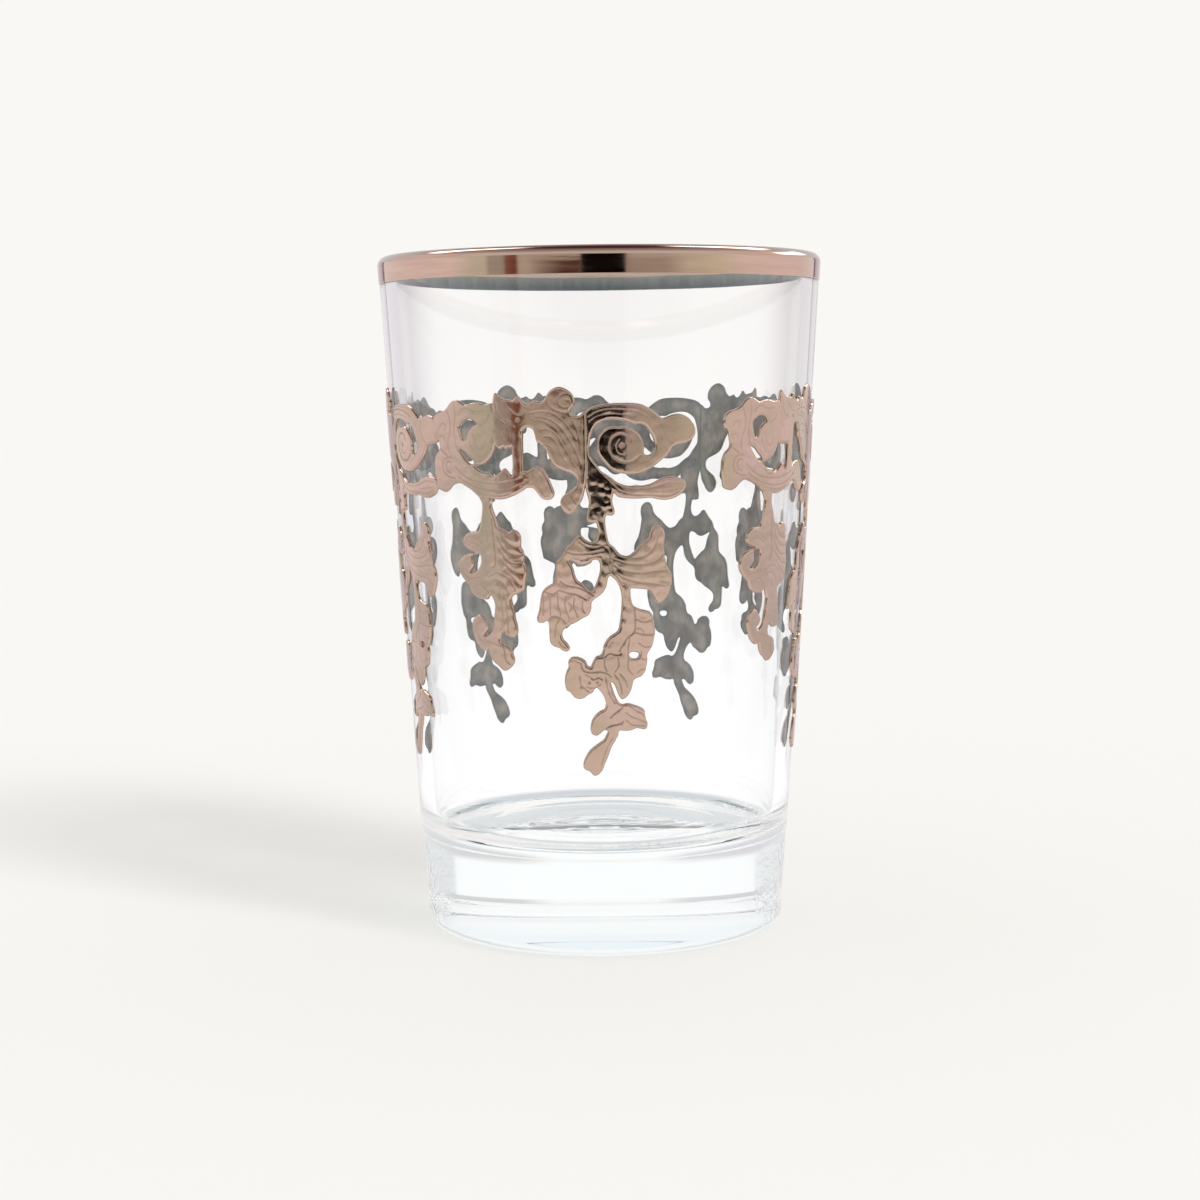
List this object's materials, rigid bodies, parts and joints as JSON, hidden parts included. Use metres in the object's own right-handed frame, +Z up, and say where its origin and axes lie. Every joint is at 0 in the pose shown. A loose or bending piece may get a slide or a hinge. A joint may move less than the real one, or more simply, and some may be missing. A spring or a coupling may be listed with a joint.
{
  "type": "moroccan tea glass",
  "caption": "Straight tapering tea glass with a thick solid base, a gilt lip and raised rose-gold scrollwork hanging in sprays round the wall.",
  "frame": {"origin": "centre of the base, on the table", "axes": "+Z up through the mouth, -Y towards the front, where the first repeat of the scrollwork hangs"},
  "size_m": [0.058, 0.058, 0.0885],
  "materials": {
    "clear_glass": "clear pressed soda-lime glass, fire polished, with a faint cold blue in the thick base",
    "polished_rose_gold": "fired-on bright gilding, rose gold, mirror-like with faint brush banding",
    "satin_rose_gold": "fired-on gilding over raised enamel paste, satin rose gold, grey where seen from behind through the glass"
  },
  "bodies": {
    "root": {"glass_body": "clear_glass", "gilt_lip": "polished_rose_gold", "cartouche_1": "satin_rose_gold", "cartouche_2": "satin_rose_gold", "cartouche_3": "satin_rose_gold", "cartouche_4": "satin_rose_gold", "cartouche_5": "satin_rose_gold", "acanthus_leaf_1": "satin_rose_gold", "acanthus_leaf_2": "satin_rose_gold", "acanthus_leaf_3": "satin_rose_gold", "acanthus_leaf_4": "satin_rose_gold", "acanthus_leaf_5": "satin_rose_gold", "spiral_scroll_1": "satin_rose_gold", "spiral_scroll_2": "satin_rose_gold", "spiral_scroll_3": "satin_rose_gold", "spiral_scroll_4": "satin_rose_gold", "spiral_scroll_5": "satin_rose_gold", "short_spray_1": "satin_rose_gold", "short_spray_2": "satin_rose_gold", "short_spray_3": "satin_rose_gold", "short_spray_4": "satin_rose_gold", "short_spray_5": "satin_rose_gold", "long_spray_1": "satin_rose_gold", "long_spray_2": "satin_rose_gold", "long_spray_3": "satin_rose_gold", "long_spray_4": "satin_rose_gold", "long_spray_5": "satin_rose_gold"}
  },
  "joints": []
}
